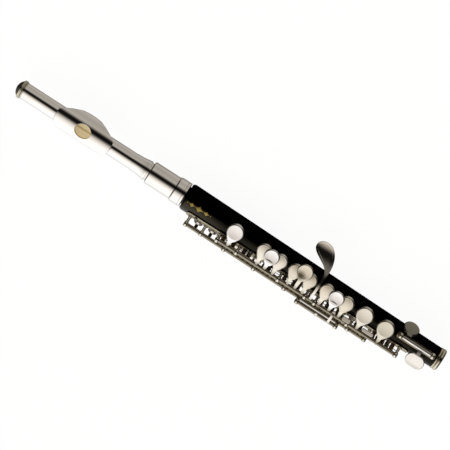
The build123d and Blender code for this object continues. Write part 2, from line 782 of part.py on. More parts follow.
CORK_FACE_X = EMBOUCHURE_X - 8.9
CORK_LENGTH = 10.5
with BuildPart() as head_cork:
    with BuildSketch(Plane.YZ.offset(CORK_FACE_X - CORK_LENGTH)):
        Circle(HEAD_BORE_R - RUNNING)
        Circle(CORK_SCREW_R + 0.01, mode=Mode.SUBTRACT)
    extrude(amount=CORK_LENGTH)
head_cork.part.label = "head_cork"
export_step(head_cork.part, "parts/head_cork.step")

with BuildPart() as cork_screw:
    with BuildSketch(Plane.YZ.offset(CROWN_END + 3.2)):
        Circle(CORK_SCREW_R)
    extrude(amount=CORK_FACE_X - CROWN_END - 3.2)
    with BuildSketch(Plane.YZ.offset(CORK_FACE_X + 0.01)):
        Circle(HEAD_BORE_R - RUNNING - 0.1)
    extrude(amount=0.7)
    with BuildSketch(Plane.YZ.offset(CORK_FACE_X - 0.05)):
        Circle(CORK_SCREW_R)
    extrude(amount=0.2)
cork_screw.part.label = "cork_screw"
export_step(cork_screw.part, "parts/cork_screw.step")

with BuildPart() as cork_nut:
    nut_x = CORK_FACE_X - CORK_LENGTH - 1.3
    with BuildSketch(Plane.YZ.offset(nut_x)):
        Circle(HEAD_BORE_R - RUNNING - 0.3)
        Circle(CORK_SCREW_R + 0.01, mode=Mode.SUBTRACT)
    extrude(amount=1.28)
    with BuildSketch(Plane.YZ.offset(nut_x)):
        Rectangle(0.8, 20)
    extrude(amount=0.5, mode=Mode.SUBTRACT)
    with BuildSketch(Plane.YZ.offset(nut_x)):
        Circle(CORK_SCREW_R + 0.01)
    extrude(amount=1.28, mode=Mode.SUBTRACT)
cork_nut.part.label = "cork_nut"
export_step(cork_nut.part, "parts/cork_nut.step")

# ---------------------------------------------------------------- finger keys on the main line
C_HOLES = [C_SHARP_HOLE]
with BuildPart() as c_key:
    c_span = (MAIN_POSTS[0] + TUBE_GAP, MAIN_POSTS[1] - TUBE_GAP)
    c_pieces = [cup(C_SHARP_HOLE, dished=True), cup_arm(C_SHARP_HOLE)]
    add(key(MAIN, [c_span], c_pieces, C_HOLES, OPEN))
c_key.part.label = "c_key"
export_step(c_key.part, "parts/c_key.step")

with BuildPart() as c_pad:
    for one_pad in pads(C_HOLES, MAIN, OPEN):
        add(one_pad)
c_pad.part.label = "c_pad"
export_step(c_pad.part, "parts/c_pad.step")

# the B-flat key carries a small tab under its tube for the thumb lever
AB_SPLIT = -129.9
BB_HOLES = [B_HOLE]
with BuildPart() as bb_key:
    bb_span = (MAIN_POSTS[1] + TUBE_GAP, AB_SPLIT - 0.05)
    bb_tab = bar(-135.5, [MAIN, (-12.8, 5.4), (-13.5, 4.1)], 1.8, 1.2)
    add(key(MAIN, [bb_span], [cup(B_HOLE), cup_arm(B_HOLE), bb_tab], BB_HOLES, OPEN))
bb_key.part.label = "bb_key"
export_step(bb_key.part, "parts/bb_key.step")

with BuildPart() as bb_pad:
    for one_pad in pads(BB_HOLES, MAIN, OPEN):
        add(one_pad)
bb_pad.part.label = "bb_pad"
export_step(bb_pad.part, "parts/bb_pad.step")

A_TOUCH_X = -126.9
A_HOLES = [A_SHARP_HOLE]
with BuildPart() as a_key:
    a_span = (AB_SPLIT + 0.05, MAIN_POSTS[2] - TUBE_GAP)
    a_pieces = [cup(A_SHARP_HOLE), cup_arm(A_SHARP_HOLE), raised_touch(A_TOUCH_X, 5.1)]
    add(key(MAIN, [a_span], a_pieces, A_HOLES, OPEN))
a_key.part.label = "a_key"
export_step(a_key.part, "parts/a_key.step")

with BuildPart() as a_pad:
    for one_pad in pads(A_HOLES, MAIN, OPEN):
        add(one_pad)
a_pad.part.label = "a_pad"
export_step(a_pad.part, "parts/a_pad.step")

G_TOUCH_X = -103.9
G_HOLES = [A_HOLE, G_SHARP_TOP_HOLE]
with BuildPart() as g_key:
    g_span = (MAIN_POSTS[2] + TUBE_GAP, MAIN_POSTS[3] - TUBE_GAP)
    g_pieces = [raised_touch(G_TOUCH_X, 5.3, 3.6)]
    for tone_hole in G_HOLES:
        g_pieces.append(cup(tone_hole))
        g_pieces.append(cup_arm(tone_hole))
    add(key(MAIN, [g_span], g_pieces, G_HOLES, OPEN))
g_key.part.label = "g_key"
export_step(g_key.part, "parts/g_key.step")

with BuildPart() as g_pads:
    for one_pad in pads(G_HOLES, MAIN, OPEN):
        add(one_pad)
g_pads.part.label = "g_pads"
export_step(g_pads.part, "parts/g_pads.step")

# The G-sharp key: a lever that crosses over the body to a curved, dished spoon on the far side, and
# an arm that drops inside the trill rod to a closed cup on the near underside.
SPOON_ARM_X = -91.95
SPOON_ARM_HALF = 0.85
SPOON_NECK_Y = 7.0
SPOON_THICKNESS = 1.5
SPOON_DISH = 0.75


def spoon_strip(rise, thickness):
    """Wide strip that follows the spoon's side view, raised by a distance."""
    side_view = [MAIN, (-8.7, 11.1), (-2.0, 13.1), (6.0, 11.6), (13.0, 8.6), (26.5, 6.4)]
    with BuildPart(mode=Mode.PRIVATE) as made:
        with BuildSketch(Plane.YZ.offset(-110)):
            with BuildLine():
                Spline(*[(y, z + rise) for y, z in side_view])
            trace(line_width=thickness)
        extrude(amount=22)
    return made.part


with BuildPart() as spoon:
    add(spoon_strip(0, SPOON_THICKNESS))
    with BuildSketch(Plane.XY):
        with Locations((SPOON_ARM_X, -2.5)):
            Rectangle(2 * SPOON_ARM_HALF, 25)
        with BuildLine():
            Spline(
                (SPOON_ARM_X + SPOON_ARM_HALF, SPOON_NECK_Y),
                (-90.9, 13.0),
                (-93.2, 20.0),
                (-97.2, 24.2),
                (-101.5, 25.3),
                (-105.8, 23.8),
                (-107.2, 20.0),
                (-104.4, 16.5),
                (-99.2, 13.6),
                (-94.6, 10.4),
                (SPOON_ARM_X - SPOON_ARM_HALF, SPOON_NECK_Y),
            )
            Line(
                (SPOON_ARM_X - SPOON_ARM_HALF, SPOON_NECK_Y),
                (SPOON_ARM_X + SPOON_ARM_HALF, SPOON_NECK_Y),
            )
        make_face()
    extrude(amount=30, mode=Mode.INTERSECT)
with BuildPart() as spoon_hollow:
    add(spoon_strip(SPOON_DISH, SPOON_THICKNESS))
    with BuildSketch(Plane.XY):
        with BuildLine():
            Spline(
                (-92.7, 11.3),
                (-92.6, 15.5),
                (-95.0, 20.3),
                (-98.4, 23.0),
                (-102.0, 24.0),
                (-105.0, 22.6),
                (-105.8, 20.2),
                (-103.6, 17.6),
                (-98.8, 14.9),
                (-94.7, 11.9),
                periodic=True,
            )
        make_face()
    extrude(amount=30, mode=Mode.INTERSECT)

GS_HOLES = [G_SHARP_HOLE]
with BuildPart() as gs_key:
    gs_span = (MAIN_POSTS[3] + TUBE_GAP, MAIN_POSTS[4] - TUBE_GAP)
    gs_cup_side = around(122, G_SHARP_HOLE.seat + 2.2)
    gs_drop = [MAIN, (-11.6, 4.2), (-11.2, 0.8), (-11.1, -3.0), gs_cup_side]
    gs_pieces = [spoon.part, bar(-93.15, gs_drop, 1.4, 1.3), cup(G_SHARP_HOLE)]
    add(key(MAIN, [gs_span], gs_pieces, GS_HOLES))
    add(spoon_hollow.part, mode=Mode.SUBTRACT)
gs_key.part.label = "gs_key"
export_step(gs_key.part, "parts/gs_key.step")

with BuildPart() as gs_pad:
    for one_pad in pads(GS_HOLES, MAIN):
        add(one_pad)
gs_pad.part.label = "gs_pad"
export_step(gs_pad.part, "parts/gs_pad.step")

FS_SPLIT = -82.2
FS_HOLES = [G_HOLE]
with BuildPart() as fs_key:
    fs_span = (MAIN_POSTS[4] + TUBE_GAP, FS_SPLIT - 0.05)
    add(key(MAIN, [fs_span], [cup(G_HOLE), cup_arm(G_HOLE)], FS_HOLES, OPEN))
fs_key.part.label = "fs_key"
export_step(fs_key.part, "parts/fs_key.step")

with BuildPart() as fs_pad:
    for one_pad in pads(FS_HOLES, MAIN, OPEN):
        add(one_pad)
fs_pad.part.label = "fs_pad"
export_step(fs_pad.part, "parts/fs_pad.step")

F_TOUCH_X = -78.2
F_HOLES = [F_SHARP_HOLE]
with BuildPart() as f_key:
    f_span = (FS_SPLIT + 0.05, MAIN_POSTS[5] - TUBE_GAP)
    f_pieces = [cup(F_SHARP_HOLE), cup_arm(F_SHARP_HOLE), raised_touch(F_TOUCH_X, 5.1)]
    add(key(MAIN, [f_span], f_pieces, F_HOLES, OPEN))
f_key.part.label = "f_key"
export_step(f_key.part, "parts/f_key.step")

with BuildPart() as f_pad:
    for one_pad in pads(F_HOLES, MAIN, OPEN):
        add(one_pad)
f_pad.part.label = "f_pad"
export_step(f_pad.part, "parts/f_pad.step")

ED_SPLIT = -50.3
E_HOLES = [F_HOLE]
with BuildPart() as e_key:
    e_span = (MAIN_POSTS[5] + TUBE_GAP, ED_SPLIT - 0.05)
    add(key(MAIN, [e_span], [cup(F_HOLE, dished=True), cup_arm(F_HOLE)], E_HOLES, OPEN))
e_key.part.label = "e_key"
export_step(e_key.part, "parts/e_key.step")

with BuildPart() as e_pad:
    for one_pad in pads(E_HOLES, MAIN, OPEN):
        add(one_pad)
e_pad.part.label = "e_pad"
export_step(e_pad.part, "parts/e_pad.step")

D_HOLES = [E_HOLE]
with BuildPart() as d_key:
    d_span = (ED_SPLIT + 0.05, MAIN_POSTS[6] - TUBE_GAP)
    add(key(MAIN, [d_span], [cup(E_HOLE, dished=True), cup_arm(E_HOLE)], D_HOLES, OPEN))
d_key.part.label = "d_key"
export_step(d_key.part, "parts/d_key.step")

with BuildPart() as d_pad:
    for one_pad in pads(D_HOLES, MAIN, OPEN):
        add(one_pad)
d_pad.part.label = "d_pad"
export_step(d_pad.part, "parts/d_pad.step")

# ---------------------------------------------------------------- the foot's D-sharp key
DS_HOLES = [D_SHARP_HOLE]
DS_TOUCH = (-15.0, -7.3)
DS_TILT = 10  # degrees that the touch leans towards the player
with BuildPart() as ds_key:
    ds_span = (FOOT_POSTS[0] + TUBE_GAP, FOOT_POSTS[1] - TUBE_GAP)
    ds_cup_side = around(-38, D_SHARP_HOLE.seat + 2.1)
    ds_arm = bar(D_SHARP_HOLE.x + 0.6, [FOOT, (4.2, 10.3), ds_cup_side], 3.2, 1.4)
    ds_lever = bar(DS_TOUCH[0] - 0.4, [FOOT, (-1.0, 11.0), (-5.0, 11.2)], 2.6, 1.2)
    ds_plate = plate(DS_TOUCH, (12.8, 9.0), 10.6, 1.3, 4.3)
    ds_plate = ds_plate.rotate(Axis((0, DS_TOUCH[1], 11.2), (1, 0, 0)), DS_TILT)
    add(key(FOOT, [ds_span], [cup(D_SHARP_HOLE), ds_arm, ds_lever, ds_plate], DS_HOLES))
ds_key.part.label = "ds_key"
export_step(ds_key.part, "parts/ds_key.step")

with BuildPart() as ds_pad:
    for one_pad in pads(DS_HOLES, FOOT):
        add(one_pad)
ds_pad.part.label = "ds_pad"
export_step(ds_pad.part, "parts/ds_pad.step")

# ---------------------------------------------------------------- trill keys
def trill_arm(hole):
    """Short arm from the trill line to a closed cup beneath it."""
    return bar(hole.x, [TRILL, (-14.2, -1.5), around(hole.angle, hole.seat + 2.1)], 2.2, 1.3)


def trill_touch(arm_x, centre, size):
    """Arm that rises between the main tube and the body to a small touch beside the finger keys."""
    arm = bar(arm_x, [TRILL, (-13.4, 1.6), (-10.6, 3.6), (-9.1, 6.4), (-8.9, 9.6)], 1.4, 1.2)
    return [arm, plate(centre, size, 9.3, 1.2, 1.1)]


DT_HOLES = [D_TRILL_HOLE]
with BuildPart() as d_trill_key:
    dt_span = (TRILL_POSTS[1] + TUBE_GAP, TRILL_POSTS[2] - TUBE_GAP)
    dt_pieces = [cup(D_TRILL_HOLE), trill_arm(D_TRILL_HOLE)]
    dt_pieces += trill_touch(-66.2, (-65.3, -9.4), (6.2, 2.9))
    add(key(TRILL, [dt_span], dt_pieces, DT_HOLES))
d_trill_key.part.label = "d_trill_key"
export_step(d_trill_key.part, "parts/d_trill_key.step")

with BuildPart() as d_trill_pad:
    for one_pad in pads(DT_HOLES, TRILL):
        add(one_pad)
d_trill_pad.part.label = "d_trill_pad"
export_step(d_trill_pad.part, "parts/d_trill_pad.step")

# the D-sharp trill key turns on a long rod that runs inside the D trill key's tube
DST_HOLES = [D_SHARP_TRILL_HOLE]
with BuildPart() as ds_trill_key:
    add(line_cylinder(TRILL, TRILL_POSTS[0] - 1.2, TRILL_POSTS[3] + 1.2, ROD_R))
    add(line_cylinder(TRILL, TRILL_POSTS[0] + TUBE_GAP, TRILL_POSTS[1] - TUBE_GAP, TUBE_R))
    add(line_cylinder(TRILL, TRILL_POSTS[2] + TUBE_GAP, TRILL_POSTS[3] - TUBE_GAP, TUBE_R))
    add(cup(D_SHARP_TRILL_HOLE))
    add(trill_arm(D_SHARP_TRILL_HOLE))
    for piece in trill_touch(-52.6, (-49.6, -8.7), (8.4, 2.4)):
        add(piece)
    add(pad_pocket(D_SHARP_TRILL_HOLE), mode=Mode.SUBTRACT)
ds_trill_key.part.label = "ds_trill_key"
export_step(ds_trill_key.part, "parts/ds_trill_key.step")

with BuildPart() as ds_trill_pad:
    for one_pad in pads(DST_HOLES, TRILL):
        add(one_pad)
ds_trill_pad.part.label = "ds_trill_pad"
export_step(ds_trill_pad.part, "parts/ds_trill_pad.step")

# ---------------------------------------------------------------- side lever
with BuildPart() as side_lever:
    side_span = (OUTER_POSTS[0] + TUBE_GAP, OUTER_POSTS[1] - TUBE_GAP)
    side_arm = bar(-74.5, [OUTER, (-17.2, 8.6), (-14.4, 11.0), (-10.2, 11.4)], 1.6, 1.2)
    side_finger = bar(-83.4, [OUTER, (-18.2, 7.2), (-16.2, 10.2)], 1.6, 1.1)
    side_plate = plate((-74.5, -10.4), (2.6, 4.2), 10.85, 1.1, 1.1)
    add(key(OUTER, [side_span], [side_arm, side_finger, side_plate]))
side_lever.part.label = "side_lever"
export_step(side_lever.part, "parts/side_lever.step")

# ---------------------------------------------------------------- thumb keys, under the body
THUMB_SPLITS = (-153.95, -140.95)
B_HOLES = [C_HOLE]
with BuildPart() as b_key:
    b_span = (THUMB_SPLITS[0] + 0.05, THUMB_SPLITS[1] - 0.05)
    b_cup_side = (-3.0, -C_HOLE.seat - 1.7)
    b_arm = bar(C_HOLE.x, [THUMB, (-7.6, -10.9), b_cup_side], 3.2, 1.5)
    b_touch_arm = bar(-151.8, [THUMB, (-8.6, -10.4), (-5.0, -11.0)], 2.4, 1.4)
    b_plate = plate((-153.7, -2.6), (7.8, 11.0), -11.6, 1.3, 3.6)
    add(key(THUMB, [b_span], [cup(C_HOLE), b_arm, b_touch_arm, b_plate], B_HOLES, THUMB_OPEN))
b_key.part.label = "b_key"
export_step(b_key.part, "parts/b_key.step")

with BuildPart() as b_pad:
    for one_pad in pads(B_HOLES, THUMB, THUMB_OPEN):
        add(one_pad)
b_pad.part.label = "b_pad"
export_step(b_pad.part, "parts/b_pad.step")

# The B-flat thumb lever is hinged on both sides of the B key and bridged around it; a finger
# rises inside the trill rod towards the tab of the B-flat key.
with BuildPart() as bb_lever:
    lever_spans = [
        (THUMB_POSTS[0] + TUBE_GAP, THUMB_SPLITS[0] - 0.05),
        (THUMB_SPLITS[1] + 0.05, THUMB_POSTS[1] - TUBE_GAP),
    ]
    bridge_line = (-13.7, -9.8)
    bridge = line_cylinder(bridge_line, -158.5, -136.4, 0.6)
    bridge_arms = [bar(x, [THUMB, (-12.6, -9.0), bridge_line], 1.4, 1.1) for x in (-157.8, -137.1)]
    lever_arm = bar(-159.4, [THUMB, (-8.8, -10.9), (-5.0, -11.8)], 2.2, 1.4)
    lever_plate = plate((-162.3, -2.6), (7.6, 11.0), -12.5, 1.3, 3.4)
    lever_finger = bar(-135.5, [THUMB, (-11.4, -3.0), (-11.1, 1.0), (-10.8, 4.1)], 1.6, 1.2)
    lever_pieces = [bridge, lever_arm, lever_plate, lever_finger] + bridge_arms
    add(key(THUMB, lever_spans, lever_pieces))
bb_lever.part.label = "bb_lever"
export_step(bb_lever.part, "parts/bb_lever.step")
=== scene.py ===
"""Looks of the piccolo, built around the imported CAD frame.

Everything is in metres in the CAD frame: the origin is at the foot, the bore runs along X, the keys
face +Z and the hinge rods are on the -Y side.  CAD nodes keep their meshes; here they get materials
and rounding modifiers, and small pieces that the CAD model leaves out are added.
"""

import json
import math

import bmesh
import bpy
from mathutils import Matrix, Vector

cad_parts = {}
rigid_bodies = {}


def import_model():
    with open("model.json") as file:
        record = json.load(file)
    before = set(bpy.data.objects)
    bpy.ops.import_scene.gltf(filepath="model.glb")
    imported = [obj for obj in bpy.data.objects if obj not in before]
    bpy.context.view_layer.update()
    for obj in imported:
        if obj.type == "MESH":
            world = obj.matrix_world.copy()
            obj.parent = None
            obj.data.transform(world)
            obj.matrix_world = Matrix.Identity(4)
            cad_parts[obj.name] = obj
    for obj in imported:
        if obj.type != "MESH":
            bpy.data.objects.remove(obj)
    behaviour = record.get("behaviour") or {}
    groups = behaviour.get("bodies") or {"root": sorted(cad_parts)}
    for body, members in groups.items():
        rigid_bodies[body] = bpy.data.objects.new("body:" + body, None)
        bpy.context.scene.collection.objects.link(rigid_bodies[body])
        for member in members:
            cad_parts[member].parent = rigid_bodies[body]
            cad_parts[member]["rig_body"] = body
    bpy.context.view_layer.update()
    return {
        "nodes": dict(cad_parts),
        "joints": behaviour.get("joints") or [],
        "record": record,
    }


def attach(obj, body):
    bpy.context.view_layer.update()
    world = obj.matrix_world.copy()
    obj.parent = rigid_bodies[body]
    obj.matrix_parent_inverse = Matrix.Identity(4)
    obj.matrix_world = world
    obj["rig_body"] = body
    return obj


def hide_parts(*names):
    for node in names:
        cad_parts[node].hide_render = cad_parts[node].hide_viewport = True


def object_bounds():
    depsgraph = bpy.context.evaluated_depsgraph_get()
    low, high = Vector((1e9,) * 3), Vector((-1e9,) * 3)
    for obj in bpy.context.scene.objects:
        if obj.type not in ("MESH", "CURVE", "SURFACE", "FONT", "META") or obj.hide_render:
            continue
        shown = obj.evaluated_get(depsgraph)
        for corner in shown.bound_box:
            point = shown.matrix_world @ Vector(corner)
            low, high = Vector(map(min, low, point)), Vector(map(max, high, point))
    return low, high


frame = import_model()

MM = 0.001

# the cone of the body
BODY_R_FOOT = 7.1 * MM
BODY_TAPER = 2.25 / 193.5  # the body's radius grows by this much per unit of length
WELD_DISTANCE = 0.002 * MM  # CAD vertices closer than this are one corner

# hinge lines as (y, z)
hinge_of = {joint["name"]: tuple(joint["pos_m"][1:]) for joint in frame["joints"] if "pos_m" in joint}
MAIN_LINE = hinge_of["c_key_turn"]
HINGE_LINES = sorted({hinge_of[name] for name in ("c_key_turn", "d_trill_turn", "side_lever_turn")})
REST_OPEN = 6.0  # degrees that the finger keys stand open

nodes = frame["nodes"]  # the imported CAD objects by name
slot_of = {part["node"]: part["material_slot"] for part in frame["record"]["subparts"]}


def body_radius(x):
    return BODY_R_FOOT - BODY_TAPER * x


# ---------------------------------------------------------------- material helpers
SHADER_RAYS = 6  # rays that look for recesses and edges


class Nodes:
    """Short way to add and wire the nodes of a material or a world."""

    def __init__(self, owner):
        owner.use_nodes = True
        self.tree = owner.node_tree
        self.tree.nodes.clear()

    def add(self, kind, **settings):
        node = self.tree.nodes.new(kind)
        for key, value in settings.items():
            setattr(node, key, value)
        return node

    def link(self, source, target):
        self.tree.links.new(source, target)

    def feed(self, value, target):
        """Puts a socket, a colour or a number into an input."""
        if isinstance(value, bpy.types.NodeSocket):
            self.link(value, target)
        elif isinstance(value, tuple):
            target.default_value = (*value, 1)
        else:
            target.default_value = value

    def compute(self, operation, first, second=0.0):
        """Arithmetic on sockets or numbers."""
        node = self.add("ShaderNodeMath", operation=operation)
        self.feed(first, node.inputs[0])
        self.feed(second, node.inputs[1])
        return node.outputs["Value"]

    def dot(self, source, direction):
        """How far a vector goes in a direction."""
        node = self.add("ShaderNodeVectorMath", operation="DOT_PRODUCT")
        node.inputs[1].default_value = direction
        self.link(source, node.inputs[0])
        return node.outputs["Value"]

    def span(self, source, low, high, from_low=0.3, from_high=0.7, interpolation="LINEAR"):
        """Source value moved from one range to another, clamped."""
        node = self.add("ShaderNodeMapRange", interpolation_type=interpolation)
        node.inputs["From Min"].default_value = from_low
        node.inputs["From Max"].default_value = from_high
        node.inputs["To Min"].default_value = low
        node.inputs["To Max"].default_value = high
        self.link(source, node.inputs["Value"])
        return node.outputs["Result"]

    def ramp(self, source, stops):
        """Colour ramp: stops are (position, colour)."""
        node = self.add("ShaderNodeValToRGB")
        elements = node.color_ramp.elements
        while len(elements) < len(stops):
            elements.new(0.5)
        for element, (position, colour) in zip(elements, stops):
            element.position = position
            element.color = (*colour, 1)
        self.link(source, node.inputs["Fac"])
        return node.outputs["Color"]

    def mix(self, factor, first, second, blend="MIX"):
        """Mix of two colours; each may be a socket or a plain colour."""
        node = self.add("ShaderNodeMix", data_type="RGBA", blend_type=blend)
        for index, value in ((0, factor), (6, first), (7, second)):
            self.feed(value, node.inputs[index])
        return node.outputs[2]


class Shader(Nodes):
    """A material with one Principled shader."""

    def __init__(self, name):
        self.material = bpy.data.materials.new(name)
        super().__init__(self.material)
        self.bsdf = self.add("ShaderNodeBsdfPrincipled")
        output = self.add("ShaderNodeOutputMaterial")
        self.link(self.bsdf.outputs["BSDF"], output.inputs["Surface"])
        self.place = self.add("ShaderNodeTexCoord").outputs["Object"]

    def set(self, **values):
        for key, value in values.items():
            self.bsdf.inputs[key.replace("_", " ")].default_value = value

    def scaled(self, factors):
        """Object coordinates multiplied by three factors."""
        mapping = self.add("ShaderNodeMapping")
        mapping.inputs["Scale"].default_value = factors
        self.link(self.place, mapping.inputs["Vector"])
        return mapping.outputs["Vector"]

    def along(self, axis):
        """One of the object coordinates."""
        node = self.add("ShaderNodeSeparateXYZ")
        self.link(self.place, node.inputs[0])
        return node.outputs[axis]

    def distance(self, point, factors):
        """Distance from a point, counting only the axes whose factor is 1."""
        node = self.add("ShaderNodeVectorMath", operation="DISTANCE")
        node.inputs[1].default_value = point
        self.link(self.scaled(factors), node.inputs[0])
        return node.outputs["Value"]

    def noise(self, scale, detail, factors=(1, 1, 1)):
        node = self.add("ShaderNodeTexNoise")
        node.inputs["Scale"].default_value = scale
        node.inputs["Detail"].default_value = detail
        self.link(self.scaled(factors), node.inputs["Vector"])
        return node.outputs["Fac"]

    def bump(self, height, strength, distance, edge_radius=0.0):
        """Bump on the surface, over edges softened by a bevel of the given radius."""
        node = self.add("ShaderNodeBump")
        node.inputs["Strength"].default_value = strength
        node.inputs["Distance"].default_value = distance
        self.link(height, node.inputs["Height"])
        if edge_radius:
            bevel = self.add("ShaderNodeBevel", samples=SHADER_RAYS)
            bevel.inputs["Radius"].default_value = edge_radius
            self.link(bevel.outputs["Normal"], node.inputs["Normal"])
        self.link(node.outputs["Normal"], self.bsdf.inputs["Normal"])

    def recess(self, distance):
        """1 on open surfaces, falling towards 0 in corners and under other pieces."""
        node = self.add("ShaderNodeAmbientOcclusion", samples=SHADER_RAYS)
        node.inputs["Distance"].default_value = distance
        return node.outputs["AO"]


# ---------------------------------------------------------------- silver plate
HINGE_SHADE_REACH = (1.5 * MM, 5.2 * MM)  # from a hinge line: full painted shade, then clean plate
HINGE_SHADE_COVER = 0.94  # how much of the plate the full painted shade covers
# colour of the painted shade around the hinge lines
HINGE_SHADE_BROWN = (0.27, 0.235, 0.17)
# colour of the painted shade in recesses and of the painted dark outline at the rim
RECESS_SHADE_BROWN = (0.34, 0.29, 0.19)
BORE_EDGE = (5.36 * MM, 5.46 * MM)  # the head tube's inside ends and its wall begins between these radii
# colour of the unpolished inside, and of its painted glow
HOLLOW_TAN = (0.84, 0.76, 0.56)
HOLLOW_BAND = -1.2 * MM  # y of a painted dark reflection that lies along the hollow, where the painted glow is left out
BAND_REACH = (0.2 * MM, 0.9 * MM)  # from the middle of that reflection: dark, then clear
HOLLOW_GLOW = 0.24  # stands for the light that a real polished tube gathers inside
TOUCH_ABOVE_BODY = 3.5 * MM
TOUCH_BLEND = 0.1 * MM
# colour of the painted highlight on raised touches
TOUCH_HIGHLIGHT_WHITE = (0.97, 0.96, 0.96)
FAR_CUP_FROM = (0.5 * MM, 2.5 * MM)  # y where the painted shade on the foot key's cup starts, and where it is full
FAR_CUP_SHADE_GREY = (0.30, 0.29, 0.24)
# middle of the painted dark reflection on the G key's touch
TOUCH_REFLECTION_CENTRE = (-105.4 * MM, -0.8 * MM, 0)
TOUCH_REFLECTION_REACH = (1.2 * MM, 4.6 * MM)  # from its centre: full painted dark reflection, then none
TOUCH_REFLECTION_BROWN = (0.17, 0.145, 0.10)


def silver(name, clean, stain, rough=(0.05, 0.14), film=RECESS_SHADE_BROWN, reach=2.2 * MM, depth=0.8,
           special=None, shaded_lines=()):
    """Silver plate: mirror bright, with faint tarnish in patches, and painted shade in the colour film in
    the recesses and as a dark outline where the surface turns away from view.

    special, where given, is called with the shader and the colour so far, and returns what to mix in.
    shaded_lines lists hinge lines, as (y, z), around which the plate gets painted shade, standing in for
    the shade and dark reflections among the keys and rods.
    """
    s = Shader(name)
    patches = s.noise(85.0, 4.0)
    colour = s.mix(s.span(patches, 0.0, 0.55, 0.45, 0.75), clean, stain)
    # painted shade in recesses and under other pieces, found by occlusion
    shade = s.span(s.recess(reach), depth, 0.0, 0.25, 0.9)
    # painted dark outline where the surface turns away from view
    edge = s.add("ShaderNodeLayerWeight")
    edge.inputs["Blend"].default_value = 0.22
    rim = s.span(edge.outputs["Facing"], 0.0, 0.55, 0.45, 1.0)
    colour = s.mix(rim, colour, film)
    if special:
        colour = s.mix(*special(s, colour))
    # painted shade around each hinge line
    for line in shaded_lines:
        hinge_shade = s.span(s.distance((0, *line), (0, 1, 1)), HINGE_SHADE_COVER, 0.0, *HINGE_SHADE_REACH)
        colour = s.mix(hinge_shade, colour, HINGE_SHADE_BROWN)
    s.link(s.mix(shade, colour, film), s.bsdf.inputs["Base Color"])
    s.link(s.span(s.noise(240.0, 5.0), *rough), s.bsdf.inputs["Roughness"])
    s.set(Metallic=1.0)
    scratches = s.noise(900.0, 2.0, factors=(0.12, 1, 1))
    s.bump(scratches, 0.10, 0.02 * MM, 0.12 * MM)
    return s.material


def glowing_hollow(s, colour):
    """Inside of the head tube, seen through the embouchure: unpolished and tan, with a faint painted glow.
    """
    inner = s.span(s.distance((0, 0, 0), (0, 1, 1)), 1.0, 0.0, *BORE_EDGE)
    s.link(s.compute("SUBTRACT", 1.0, inner), s.bsdf.inputs["Metallic"])
    from_band = s.compute("ABSOLUTE", s.compute("SUBTRACT", s.along("Y"), HOLLOW_BAND))
    outside_band = s.span(from_band, 0.05, 1.0, *BAND_REACH)
    glow = s.compute("MULTIPLY", s.compute("MULTIPLY", inner, HOLLOW_GLOW), outside_band)
    s.link(glow, s.bsdf.inputs["Emission Strength"])
    s.set(Emission_Color=(*HOLLOW_TAN, 1))
    return inner, colour, HOLLOW_TAN


def raised_touch_highlight(s, colour):
    """Raised finger touches get a painted highlight that makes them brighter than the cups beside them."""
    lean = math.radians(REST_OPEN)
    height = s.dot(s.place, (BODY_TAPER, -math.sin(lean), math.cos(lean)))
    hinge_y, hinge_z = MAIN_LINE
    turned_back = math.cos(lean) * hinge_z - math.sin(lean) * hinge_y - hinge_z
    level = BODY_R_FOOT + TOUCH_ABOVE_BODY + turned_back
    raised = s.span(height, 0.0, 1.0, level - TOUCH_BLEND, level + TOUCH_BLEND)
    return raised, colour, TOUCH_HIGHLIGHT_WHITE


def far_cup_shade(s, colour):
    """The foot key's cup, beyond the rod, gets painted shade that makes it darker than its touch."""
    return s.span(s.along("Y"), 0.0, 1.0, *FAR_CUP_FROM), colour, FAR_CUP_SHADE_GREY


def dark_reflected_touch(s, colour):
    """The G key's touch gets a painted dark reflection towards the player and the head."""
    reflected_dark = s.span(s.distance(TOUCH_REFLECTION_CENTRE, (1, 1, 0)), 1.0, 0.0, *TOUCH_REFLECTION_REACH)
    raised, _colour, _white = raised_touch_highlight(s, colour)
    return s.compute("MULTIPLY", reflected_dark, raised), colour, TOUCH_REFLECTION_BROWN


# ---------------------------------------------------------------- other materials
SHEEN_ZONE = (-182 * MM, -160 * MM)  # the painted sheen is full on the head side of this


def black_body(name):
    """Moulded black resin with a painted sheen: its reflection is strong on the player's side and towards
    the head, and weak on the far side.
    """
    s = Shader(name)
    film = s.noise(60.0, 5.0, factors=(0.5, 1, 1))
    s.link(s.ramp(film, [(0.35, (0.0004, 0.0004, 0.0004)), (0.7, (0.0012, 0.0010, 0.0006))]),
           s.bsdf.inputs["Base Color"])
    s.link(s.span(s.noise(170.0, 6.0), 0.10, 0.22), s.bsdf.inputs["Roughness"])
    # painted sheen: how strongly the resin reflects follows which way the surface faces
    to_player = s.dot(s.add("ShaderNodeNewGeometry").outputs["Normal"], (0, -1, 0))
    sheen_along = s.span(s.along("X"), 1.0, 0.36, *SHEEN_ZONE)
    gloss = s.compute("MULTIPLY", sheen_along, s.span(to_player, 0.0, 0.5, 0.0, 0.30))
    s.link(gloss, s.bsdf.inputs["Specular IOR Level"])
    # the warm tint of the sheen is painted too
    s.set(IOR=1.5, Specular_Tint=(1.0, 0.87, 0.62, 1))
    s.bump(s.noise(750.0, 2.0), 0.06, 0.03 * MM, 0.1 * MM)
    return s.material


